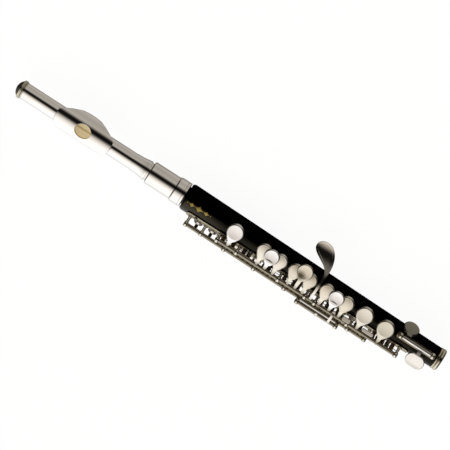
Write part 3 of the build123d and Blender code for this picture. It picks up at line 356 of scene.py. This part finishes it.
def cork(name, light, dark):
    """Pressed cork: warm grains with small dark pores."""
    s = Shader(name)
    grain = s.add("ShaderNodeTexVoronoi")
    grain.inputs["Scale"].default_value = 1100.0
    s.link(s.place, grain.inputs["Vector"])
    tint = s.ramp(s.noise(420.0, 5.0), [(0.3, dark), (0.65, light)])
    pores = s.span(grain.outputs["Distance"], 0.55, 0.0, 0.05, 0.35)
    s.link(s.mix(pores, tint, (0.12, 0.06, 0.03)), s.bsdf.inputs["Base Color"])
    s.set(Roughness=0.85)
    s.bump(grain.outputs["Distance"], 0.5, 0.12 * MM)
    return s.material


def pad_skin(name):
    """Thin skin stretched over felt: ivory, slightly shiny, with faint wrinkles."""
    s = Shader(name)
    tone = s.noise(500.0, 4.0)
    s.link(s.ramp(tone, [(0.3, (0.58, 0.43, 0.24)), (0.7, (0.82, 0.70, 0.48))]),
           s.bsdf.inputs["Base Color"])
    s.link(s.span(s.noise(900.0, 3.0), 0.32, 0.55), s.bsdf.inputs["Roughness"])
    s.set(Sheen_Weight=0.2)
    s.bump(s.noise(1500.0, 5.0), 0.35, 0.05 * MM)
    return s.material


def turned_steel(name, base, rough):
    """Turned steel: fine rings around the bore direction."""
    s = Shader(name)
    rings = s.add("ShaderNodeTexWave", wave_type="BANDS", bands_direction="X")
    rings.inputs["Scale"].default_value = 1800.0
    rings.inputs["Distortion"].default_value = 2.0
    s.link(s.place, rings.inputs["Vector"])
    tint = s.mix(s.noise(300.0, 3.0), base, tuple(0.7 * c for c in base))
    s.link(tint, s.bsdf.inputs["Base Color"])
    s.link(s.span(rings.outputs["Fac"], *rough, 0.0, 1.0), s.bsdf.inputs["Roughness"])
    s.set(Metallic=1.0)
    s.bump(rings.outputs["Fac"], 0.08, 0.01 * MM, 0.08 * MM)
    return s.material


def blued_steel(name):
    """Spring steel tempered from straw to blue along its length."""
    s = Shader(name)
    s.link(s.ramp(s.noise(260.0, 2.0), [(0.35, (0.03, 0.05, 0.16)), (0.65, (0.30, 0.20, 0.07))]),
           s.bsdf.inputs["Base Color"])
    s.link(s.span(s.noise(700.0, 2.0), 0.18, 0.3), s.bsdf.inputs["Roughness"])
    s.set(Metallic=1.0)
    return s.material


def gilt(name, fresh, worn):
    """Gold, slightly worn so that another tone shows in spots."""
    s = Shader(name)
    rubbed = s.noise(420.0, 6.0)
    s.link(s.ramp(rubbed, [(0.35, fresh), (0.75, worn)]), s.bsdf.inputs["Base Color"])
    s.link(s.span(s.noise(600.0, 3.0), 0.18, 0.38), s.bsdf.inputs["Roughness"])
    s.set(Metallic=1.0)
    s.bump(s.noise(1300.0, 2.0), 0.12, 0.02 * MM)
    return s.material


# clean and tarnished colour, roughness, then the colour, reach and depth of the painted shade in recesses
HEAD_PLATE = ((0.95, 0.935, 0.91), (0.86, 0.82, 0.75), (0.03, 0.08), (0.55, 0.50, 0.38), 1.5 * MM, 0.7)
head_silver = silver("head_silver", *HEAD_PLATE)
tube_silver = silver("tube_silver", *HEAD_PLATE, special=glowing_hollow)
crown_silver = silver("crown_silver", (0.60, 0.56, 0.46), (0.44, 0.39, 0.27), (0.05, 0.12),
                      (0.30, 0.26, 0.16))
key_silver = silver("key_silver", (0.86, 0.82, 0.75), (0.74, 0.68, 0.56), (0.08, 0.18), shaded_lines=HINGE_LINES)
# posts and straps are darker copies of the plate with deep painted shade in recesses, standing in for the
# shade and dark reflections among the keys and rods
post_silver = silver("post_silver", (0.80, 0.75, 0.64), (0.50, 0.42, 0.26), (0.08, 0.2), (0.16, 0.12, 0.06),
                     3.0 * MM, 0.9)
strap_silver = silver("strap_silver", (0.42, 0.37, 0.26), (0.28, 0.23, 0.13), (0.2, 0.34),
                      (0.10, 0.08, 0.04), 3.0 * MM, 0.9)
ring_silver = silver("ring_silver", (0.72, 0.67, 0.52), (0.60, 0.52, 0.35), (0.12, 0.22),
                     (0.30, 0.25, 0.14))
resin = black_body("black_resin")
tenon_cork_look = cork("tenon_cork_look", (0.56, 0.36, 0.20), (0.36, 0.20, 0.10))
head_cork_look = cork("head_cork_look", (0.62, 0.42, 0.25), (0.42, 0.25, 0.13))
skin = pad_skin("pad_skin_look")
ground_steel = turned_steel("ground_steel", (0.56, 0.55, 0.52), (0.16, 0.30))
screw_steel = turned_steel("screw_steel_look", (0.50, 0.48, 0.44), (0.2, 0.36))
spring_blue = blued_steel("spring_blue")
gold_wash = gilt("gold_wash", (0.60, 0.45, 0.20), (0.86, 0.74, 0.50))
gold_leaf = gilt("gold_leaf", (0.40, 0.30, 0.09), (0.22, 0.17, 0.05))

LOOKS = {
    "body_black": resin,
    "tenon_cork": tenon_cork_look,
    "head_cork": head_cork_look,
    "silver_ring": ring_silver,
    "silver_straps": strap_silver,
    "silver_posts": post_silver,
    "silver_head": head_silver,
    "silver_keys": key_silver,
    "screw_steel": screw_steel,
    "rod_steel": ground_steel,
    "spring_steel": spring_blue,
    "pad_skin": skin,
}

# lighter and darker copies of one plating, one per key, painted to stand for how each key catches the
# light: clean and tarnished colour, and what is special about them
KEY_LIT_TONES = {
    "c_key": ((0.97, 0.95, 0.95), (0.90, 0.87, 0.84), None),
    "bb_key": ((0.90, 0.86, 0.78), (0.76, 0.70, 0.58), None),
    "a_key": ((0.88, 0.84, 0.76), (0.76, 0.70, 0.58), raised_touch_highlight),
    "g_key": ((0.80, 0.75, 0.64), (0.66, 0.59, 0.45), dark_reflected_touch),
    "fs_key": ((0.88, 0.83, 0.73), (0.76, 0.69, 0.55), None),
    "f_key": ((0.85, 0.81, 0.70), (0.74, 0.67, 0.53), raised_touch_highlight),
    "e_key": ((0.86, 0.82, 0.74), (0.72, 0.66, 0.55), None),
    "d_key": ((0.79, 0.76, 0.66), (0.62, 0.57, 0.44), None),
    "ds_key": ((0.97, 0.96, 0.94), (0.84, 0.81, 0.76), far_cup_shade),
}
NODE_LOOKS = {
    "head_tube": tube_silver,
    "crown": crown_silver,
    "embouchure_riser": gold_wash,
}
for key_name, (lit_clean_tone, lit_stain_tone, touch) in KEY_LIT_TONES.items():
    NODE_LOOKS[key_name] = silver(f"{key_name}_silver", lit_clean_tone, lit_stain_tone, (0.08, 0.18),
                                  special=touch, shaded_lines=HINGE_LINES)


def wear(obj, material):
    """Gives an object one material in every slot."""
    if not obj.material_slots:
        obj.data.materials.append(material)
    for material_slot in obj.material_slots:
        material_slot.material = material


for name, node in nodes.items():
    wear(node, NODE_LOOKS.get(name, LOOKS[slot_of[name]]))
    for polygon in node.data.polygons:
        polygon.use_smooth = True


# ---------------------------------------------------------------- rounded and added pieces
def new_piece(name, mesh, material, body):
    """Puts a finished mesh into the scene as a piece that rides on a body."""
    piece = bpy.data.objects.new(name, mesh)
    bpy.context.scene.collection.objects.link(piece)
    wear(piece, material)
    for polygon in mesh.polygons:
        polygon.use_smooth = True
    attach(piece, body)
    return piece


def round_edges(node_name, voxel, passes):
    """Rounds every edge of a CAD node with modifiers: weld its faces, remesh in voxels, then smooth."""
    node = nodes[node_name]
    weld = node.modifiers.new("weld", "WELD")
    weld.merge_threshold = WELD_DISTANCE
    remesh = node.modifiers.new("remesh", "REMESH")
    remesh.mode = "VOXEL"
    remesh.voxel_size = voxel
    remesh.use_smooth_shade = True
    smooth = node.modifiers.new("smooth", "SMOOTH")
    smooth.iterations = passes


round_edges("lip_plate", 0.14 * MM, 18)


def add_skin(points, faces, first_pole, rings, last_pole):
    """Adds a closed skin that runs from a pole over rings of points to a pole at the other end. Seen from
    the last pole the rings turn counter-clockwise."""
    count = len(rings[0])
    first = len(points)
    points.append(first_pole)
    for ring in rings:
        points.extend(ring)
    last = len(points)
    points.append(last_pole)
    for step in range(count):
        after = (step + 1) % count
        low = first + 1
        faces.append((first, low + after, low + step))
        for _ring in rings[1:]:
            high = low + count
            faces.append((low + step, low + after, high + after, high + step))
            low = high
        faces.append((low + step, low + after, last))


def add_turned(points, faces, profile, place, spin=48):
    """Adds a turned shape: profile is (radius, height) points that start and end on the axis, and place
    is a matrix."""
    rings = []
    for radius, height in profile[1:-1]:
        turns = [math.tau * step / spin for step in range(spin)]
        rings.append([place @ Vector((radius * math.cos(turn), radius * math.sin(turn), height))
                      for turn in turns])
    bottom, top = (place @ Vector((0, 0, profile[end][1])) for end in (0, -1))
    add_skin(points, faces, bottom, rings, top)


def islands(work):
    """Sets of joined vertices in a bmesh."""
    waiting = set(work.verts)
    found = []
    while waiting:
        island = {waiting.pop()}
        fringe = list(island)
        while fringe:
            vertex = fringe.pop()
            for edge in vertex.link_edges:
                other = edge.other_vert(vertex)
                if other not in island:
                    island.add(other)
                    fringe.append(other)
        waiting -= island
        found.append(island)
    return found


def solid_discs(node):
    """Place, radius and thickness of each flat disc in a CAD node. The place is a matrix: its origin is
    the centre of the seat side and its z points away from the bore."""
    work = bmesh.new()
    work.from_mesh(node.data)
    bmesh.ops.remove_doubles(work, verts=work.verts, dist=WELD_DISTANCE)
    discs = []
    for island in islands(work):
        area = {}
        for face in {face for vertex in island for face in vertex.link_faces}:
            direction = tuple(round(part, 2) for part in face.normal)
            area[direction] = area.get(direction, 0.0) + face.calc_area()
        normal = Vector(max(area, key=area.get)).normalized()
        middle = sum((vertex.co for vertex in island), Vector()) / len(island)
        if normal.dot(Vector((0, middle.y, middle.z))) < 0:
            normal = -normal
        side = Vector((1, 0, 0))
        across = normal.cross(side).normalized()
        spans = []
        for axis in (side, across, normal):
            reach = [vertex.co.dot(axis) for vertex in island]
            spans.append((min(reach), max(reach)))
        seat = side * sum(spans[0]) / 2 + across * sum(spans[1]) / 2 + normal * spans[2][0]
        place = Matrix((side, across, normal)).transposed().to_4x4()
        place.translation = seat
        discs.append((place, (spans[0][1] - spans[0][0]) / 2, spans[2][1] - spans[2][0]))
    work.free()
    return sorted(discs, key=lambda disc: disc[0].translation.x)


def make_pad(node_name):
    """Felt pad under a stretched skin: a rounded brim, and the ring that the tone hole has pressed into
    its flat face."""
    node = nodes[node_name]
    points = []
    faces = []
    for place, radius, thickness in solid_discs(node):
        profile = [
            (0, 0.01 * MM),
            (radius * 0.25, 0.01 * MM),
            (radius * 0.48, 0.03 * MM),
            (radius * 0.58, 0.08 * MM),
            (radius * 0.62, 0.13 * MM),
            (radius * 0.76, 0.13 * MM),
            (radius * 0.81, 0.05 * MM),
            (radius * 0.88, 0.03 * MM),
            (radius - 0.30 * MM, 0.10 * MM),
            (radius - 0.10 * MM, 0.26 * MM),
            (radius - 0.01 * MM, 0.55 * MM),
            (radius - 0.01 * MM, thickness - 0.35 * MM),
            (radius - 0.12 * MM, thickness - 0.06 * MM),
            (radius - 0.45 * MM, thickness),
            (0, thickness),
        ]
        add_turned(points, faces, profile, place)
    mesh = bpy.data.meshes.new(f"{node_name}_skin")
    mesh.from_pydata(points, [], faces)
    piece = new_piece(f"{node_name}_skin", mesh, skin, node["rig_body"])
    subdivision = piece.modifiers.new("subdivision", "SUBSURF")
    subdivision.levels = subdivision.render_levels = 1
    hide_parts(node_name)


for name in sorted(nodes):
    if slot_of[name] == "pad_skin":
        make_pad(name)


# ---------------------------------------------------------------- tails of the finger keys
# each tail hangs from the key's tube and rests on the body's strap through a cork bumper
TAILS = {  # middle of each tail, x in mm
    "c_key": (-158.7, -151.3),
    "bb_key": (-143.2, -139.5),
    "a_key": (-127.6, -124.1, -120.6),
    "g_key": (-112.4, -105.6, -102.1),
    "fs_key": (-84.3,),
    "f_key": (-79.9, -76.3, -72.1),
    "e_key": (-57.95, -54.95),
    "d_key": (-45.4, -41.9, -38.3, -34.8, -31.3),
}
TAIL_WIDTH = 3.0 * MM
TAIL_HALF = 0.42 * MM  # half its thickness
TAIL_ROOT = Vector((0.12 * MM, -1.14 * MM))  # from the hinge line, inside the wall of the key's tube
TAIL_BEND = (2.7 * MM, 4.6 * MM)  # distance from the body's side, and height
TAIL_TIP = (1.95 * MM, 0.2 * MM)
TAIL_STEPS = 5
BUMPER_STEPS = 2  # the steps at the tip that carry the bumper
TAIL_EDGE = 0.3 * MM  # a tail gets thin over this width on each side
TAIL_EDGE_SHARE = 0.55  # of its thickness
STRAP_THICKNESS = 0.8 * MM
BUMPER_GAP = 0.12 * MM
BUMPER_TUCK = 0.3 * MM  # how deep the bumper's back lies behind the tail's middle line
BUMPER_WIDTH = 0.9  # share of the tail's width
BUMPER_ROUNDING = 0.3  # how far a bumper's height follows the thinning of the tail's edges


def tail_line(x):
    """Middle line of a tail as (y, z) points, from inside the tube down to its tip by the body."""
    radius = body_radius(x)
    start = Vector(MAIN_LINE) + TAIL_ROOT
    bend, tip = (Vector((-radius - out, height)) for out, height in (TAIL_BEND, TAIL_TIP))
    shares = [step / TAIL_STEPS for step in range(TAIL_STEPS + 1)]
    return [start.lerp(bend, share).lerp(bend.lerp(tip, share), share) for share in shares]


def thickened(line, half):
    """Closed outline around a line, both sides offset by half a thickness."""
    sides = ([], [])
    for index, point in enumerate(line):
        along = (line[min(index + 1, len(line) - 1)] - line[max(index - 1, 0)]).normalized()
        across = Vector((-along.y, along.x)) * half
        sides[0].append(point + across)
        sides[1].append(point - across)
    return sides[0] + sides[1][::-1]


def add_loft(made, sections):
    """Adds a closed solid to a bmesh: sections are (x, outline) with outlines of equal length."""
    rings = [[made.verts.new((x, *point)) for point in outline] for x, outline in sections]
    count = len(rings[0])
    for low, high in zip(rings, rings[1:]):
        for step in range(count):
            after = (step + 1) % count
            made.faces.new((low[step], low[after], high[after], high[step]))
    made.faces.new(rings[0][::-1])
    made.faces.new(rings[-1])


def bumper_outline(x, middle_x, shrink):
    """Cork between the lower part of a tail and the strap on the body, as seen along the bore."""
    backs = [point + Vector((BUMPER_TUCK, 0)) for point in tail_line(middle_x)[-BUMPER_STEPS:]]
    radius = body_radius(x) + STRAP_THICKNESS + BUMPER_GAP
    fronts = [Vector((-math.sqrt(radius**2 - point.y**2), point.y)) for point in backs[::-1]]
    outline = backs + fronts
    middle = sum(point.y for point in outline) / len(outline)
    return [Vector((point.x, middle + (point.y - middle) * shrink)) for point in outline]


def make_tails(key_name, places):
    """The tails of one key as one piece, and their cork bumpers as another."""
    half = TAIL_WIDTH / 2
    flat = half - TAIL_EDGE
    sides = ((-half, TAIL_EDGE_SHARE), (-flat, 1.0), (flat, 1.0), (half, TAIL_EDGE_SHARE))
    tails, bumpers = bmesh.new(), bmesh.new()
    for place in places:
        x = place * MM
        add_loft(tails, [(x + dx, thickened(tail_line(x), TAIL_HALF * size)) for dx, size in sides])
        sections = []
        for dx, size in sides:
            section_x = x + BUMPER_WIDTH * dx
            shrink = 1 - BUMPER_ROUNDING * (1 - size)
            sections.append((section_x, bumper_outline(section_x, x, shrink)))
        add_loft(bumpers, sections)
    for made, suffix, look, slot in ((tails, "tails", NODE_LOOKS[key_name], "silver_keys"),
                                     (bumpers, "bumpers", head_cork_look, "head_cork")):
        bmesh.ops.recalc_face_normals(made, faces=made.faces)
        mesh = bpy.data.meshes.new(f"{key_name}_{suffix}")
        made.to_mesh(mesh)
        made.free()
        new_piece(f"{key_name}_{suffix}", mesh, look, nodes[key_name]["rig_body"])


for key_name, places in TAILS.items():
    make_tails(key_name, places)


# ---------------------------------------------------------------- ornament at the body's shoulder
LEAF_DEPTH = 0.08  # the leaf's underside lies this far inside the body, in mm
# rings of a leaf: share of the outline, and lift in mm
LEAF_DOME = ((0.35, 0.09), (0.7, 0.08), (0.93, 0.06), (1.0, 0.02), (1.0, -LEAF_DEPTH))
ORNAMENT_ARC = 1.2 * MM  # towards the player from the top of the body
LOZENGES = ((-187.2, 2.3, 1.5), (-181.8, 2.9, 2.3), (-176.4, 2.3, 1.5))  # x, half length, half width in mm
DOTS = ((-190.4, 0.45), (-184.7, 0.32), (-178.9, 0.32), (-173.3, 0.45))  # x and radius in mm


def on_body(x, arc, lift):
    """Point on the conical body: x along it, arc towards the player from the top, lift above it."""
    radius = body_radius(x)
    turn = arc / radius
    return Vector((x, -(radius + lift) * math.sin(turn), (radius + lift) * math.cos(turn)))


def inlay(points, faces, middle, outline):
    """Adds one thin leaf of metal that follows the body: domed rings above, a flat fan below."""
    x, arc = middle
    rings = []
    for share, lift in LEAF_DOME:
        rings.append([on_body(x + share * dx, arc + share * across, lift * MM) for dx, across in outline])
    add_skin(points, faces, on_body(x, arc, LEAF_DOME[0][1] * MM), rings, on_body(x, arc, -LEAF_DEPTH * MM))


def lozenge(half_length, half_width, pinch=0.82, steps=6):
    """Outline of a lozenge with slightly hollow sides, as (along, towards the player) points."""
    corners = [(half_length, 0), (0, half_width), (-half_length, 0), (0, -half_width)]
    outline = []
    for index, (x0, y0) in enumerate(corners):
        x1, y1 = corners[(index + 1) % 4]
        for step in range(steps):
            share = step / steps
            hollow = 1 - (1 - pinch) * 4 * share * (1 - share)
            outline.append(((x0 + (x1 - x0) * share) * hollow, (y0 + (y1 - y0) * share) * hollow))
    return outline


def dot_outline(radius, steps=20):
    turns = [math.tau * step / steps for step in range(steps)]
    return [(radius * math.cos(turn), radius * math.sin(turn)) for turn in turns]


def make_ornament():
    """Chain of lozenges and dots in gold leaf, lying along the top of the body at its shoulder."""
    points = []
    faces = []
    for x, half_length, half_width in LOZENGES:
        inlay(points, faces, (x * MM, ORNAMENT_ARC), lozenge(half_length * MM, half_width * MM))
    for x, radius in DOTS:
        inlay(points, faces, (x * MM, ORNAMENT_ARC), dot_outline(radius * MM))
    mesh = bpy.data.meshes.new("shoulder_ornament")
    mesh.from_pydata(points, [], faces)
    new_piece("shoulder_ornament", mesh, gold_leaf, nodes["body_tube"]["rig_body"])


make_ornament()

# ---------------------------------------------------------------- floor, light and camera
TILT = math.radians(11.0)  # the camera leans this far from straight above, towards the far side
ROLL = math.radians(32.94)  # the foot points this far below the picture's horizontal
CAMERA_SIDE = Vector((0, math.sin(TILT), math.cos(TILT)))
FAR_SIDE = Vector((0, math.cos(TILT), -math.sin(TILT)))  # up in the picture, before the roll
PICTURE_WIDTH = 286.9 * MM  # at the instrument
PICTURE_CENTRE = Vector((-162.7 * MM, 0, 0)) - 2.3 * MM * FAR_SIDE
FLOOR_HALF = 3.0
FLOOR_GAP = 0.5 * MM


def make_camera():
    data = bpy.data.cameras.new("camera")
    camera = bpy.data.objects.new("camera", data)
    bpy.context.scene.collection.objects.link(camera)
    data.lens = 200.0
    data.sensor_width = 36.0
    distance = PICTURE_WIDTH * data.lens / data.sensor_width
    to_foot = Vector((1, 0, 0))
    right = math.cos(ROLL) * to_foot + math.sin(ROLL) * FAR_SIDE
    up = -math.sin(ROLL) * to_foot + math.cos(ROLL) * FAR_SIDE
    turn = Matrix((right, up, CAMERA_SIDE)).transposed().to_4x4()
    camera.matrix_world = Matrix.Translation(PICTURE_CENTRE + CAMERA_SIDE * distance) @ turn
    data.clip_start = 0.01
    data.clip_end = 20.0
    bpy.context.scene.camera = camera


def make_floor():
    """Pale floor: one wide flat sheet just under the lowest key."""
    low, _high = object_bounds()
    mesh = bpy.data.meshes.new("floor")
    corners = [(x * FLOOR_HALF, y * FLOOR_HALF) for x, y in ((-1, -1), (1, -1), (1, 1), (-1, 1))]
    mesh.from_pydata([(x, y, low.z - FLOOR_GAP) for x, y in corners], [], [(0, 1, 2, 3)])
    floor = bpy.data.objects.new("floor", mesh)
    bpy.context.scene.collection.objects.link(floor)
    s = Shader("floor_paper")
    paper = s.ramp(s.noise(6.0, 3.0), [(0.3, (0.20, 0.20, 0.20)), (0.7, (0.22, 0.22, 0.22))])
    s.link(paper, s.bsdf.inputs["Base Color"])
    s.set(Roughness=0.9, Emission_Color=(1, 1, 1, 1), Emission_Strength=0.94, Specular_IOR_Level=0.0)
    s.bump(s.noise(900.0, 2.0), 0.05, 0.05 * MM)
    wear(floor, s.material)
    floor.visible_glossy = False


# Brightness of the studio around the bore direction: degrees from straight behind the camera,
# positive towards the player's side, and the level there.
STUDIO_BANDS = [
    (-180, 0.20),
    (-160, 0.20),
    (-133, 0.32),
    (-115, 0.46),
    (-100, 0.45),
    (-76, 0.37),
    (-56, 0.40),
    (-42, 0.45),
    (-35, 0.40),
    (-28, 0.20),
    (-20, 0.03),
    (-14, 0.006),
    (2, 0.006),
    (8, 0.07),
    (15, 0.28),
    (23, 0.57),
    (32, 0.80),
    (44, 0.98),
    (60, 1.12),
    (105, 1.12),
    (130, 0.95),
    (155, 0.75),
    (180, 0.35),
]
WARM_TINT = (1.0, 0.92, 0.83)
TINT_FADE = (20.0, 50.0)  # degrees where the warm tint starts to fade, and how many more it takes
END_FADE = (0.18, 0.75)  # the studio gets darker towards the ends of the instrument between these
END_LEVELS = (1.0, 0.10)


def make_world():
    """Studio surroundings as bands around the bore direction: a dark slit behind the camera, a bright
    side towards the player and a dim warm side away from the player."""
    world = bpy.data.worlds.new("studio")
    bpy.context.scene.world = world
    w = Nodes(world)
    direction = w.add("ShaderNodeTexCoord").outputs["Generated"]
    to_player = w.dot(direction, (0, -math.cos(TILT), math.sin(TILT)))
    angle = w.compute("ARCTAN2", to_player, w.dot(direction, CAMERA_SIDE))
    stops = []
    for degrees_round, level in STUDIO_BANDS:
        neutral = min(1.0, max(0.0, (degrees_round - TINT_FADE[0]) / TINT_FADE[1]))
        colour = [level * (warm + (1.0 - warm) * neutral) for warm in WARM_TINT]
        stops.append((0.5 + degrees_round / 360.0, colour))
    bands = w.ramp(w.span(angle, 0.0, 1.0, -math.pi, math.pi), stops)
    to_end = w.compute("ABSOLUTE", w.dot(direction, (1, 0, 0)))
    fade = w.span(to_end, *END_LEVELS, *END_FADE, interpolation="SMOOTHSTEP")
    background = w.add("ShaderNodeBackground")
    w.link(w.mix(1.0, bands, fade, "MULTIPLY"), background.inputs["Color"])
    w.link(background.outputs["Background"], w.add("ShaderNodeOutputWorld").inputs["Surface"])


make_floor()
make_world()
make_camera()
bpy.context.scene.view_settings.view_transform = "Standard"
